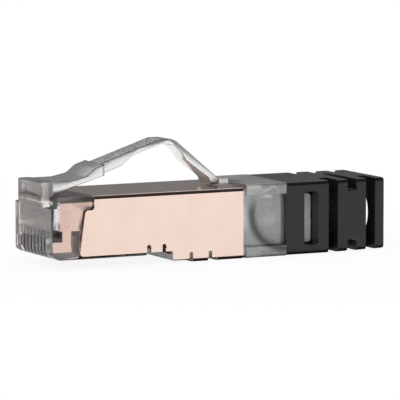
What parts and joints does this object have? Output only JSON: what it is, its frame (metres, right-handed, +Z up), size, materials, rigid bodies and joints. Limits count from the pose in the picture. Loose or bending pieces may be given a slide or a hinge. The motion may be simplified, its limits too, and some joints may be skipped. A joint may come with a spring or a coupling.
{
  "type": "rj45 modular plug",
  "caption": "Shielded modular data plug: clear housing, contact blades, folded metal shield, arched press latch, clear collar and a slotted cable boot.",
  "frame": {"origin": "centre of the underside of the bounding box: the plane the plug rests on, midway along it and on its centre plane", "axes": "+X from the nose to the cable end, +Y across the plug, +Z up towards the latch"},
  "size_m": [0.049, 0.012, 0.0155],
  "materials": {
    "clear_plastic": "clear moulded polycarbonate",
    "comb_plastic": "natural moulded",
    "rose_metal": "plated, smooth",
    "contact_metal": "plated",
    "black_plastic": "fine matt"
  },
  "bodies": {
    "plug_body": {"plug_housing": "clear_plastic", "contact_1": "contact_metal", "contact_2": "contact_metal", "contact_3": "contact_metal", "contact_4": "contact_metal", "contact_5": "contact_metal", "contact_6": "contact_metal", "contact_7": "contact_metal", "contact_8": "contact_metal", "wire_comb": "comb_plastic", "inner_liner": "rose_metal", "shield_shell": "rose_metal", "rear_insert": "clear_plastic", "boot": "black_plastic"},
    "latch_front": {"latch_arm": "clear_plastic"},
    "latch_rear": {"latch_leg": "clear_plastic"}
  },
  "joints": [
    {"name": "latch_press", "type": "hinge", "parent": "plug_body", "child": "latch_front", "pos_m": [-0.0198, 0, 0.01053], "axis": [0, 1, 0], "range_deg": [0, 10], "stiffness_Nm_per_rad": 0.1},
    {"name": "latch_fold", "type": "hinge", "parent": "latch_front", "child": "latch_rear", "pos_m": [-0.00502, 0, 0.01518], "axis": [0, 1, 0], "range_deg": [-33.5, 0]}
  ],
  "couplings": [
    {"joint": "latch_fold", "follows": "latch_press", "ratio": -3.3}
  ]
}
